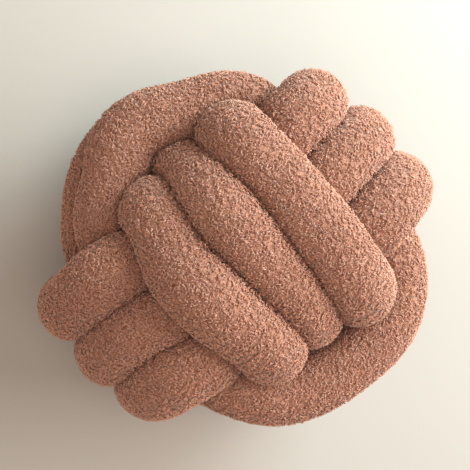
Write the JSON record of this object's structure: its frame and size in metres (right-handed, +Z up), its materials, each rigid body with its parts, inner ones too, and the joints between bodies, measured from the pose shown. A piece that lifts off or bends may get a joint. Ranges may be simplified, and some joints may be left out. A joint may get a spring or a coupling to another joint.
{
  "type": "knot cushion",
  "caption": "Round decorative knot cushion: one long soft tube of teddy cloth wound into a ball knot of parallel strands, lying on its back.",
  "frame": {"origin": "on the surface the cushion rests on, under the middle of its bounding box", "axes": "+Z up, out of the front face of the knot; +X along the strands that end in the knot's widest knuckles; +Y across them, along the three strands on top of the front face"},
  "size_m": [0.3714, 0.3456, 0.2913],
  "materials": {
    "teddy_cloth": "short curled teddy pile, dusty pink terracotta, matt"
  },
  "bodies": {
    "root": {"knotted_tube": "teddy_cloth"}
  },
  "joints": []
}
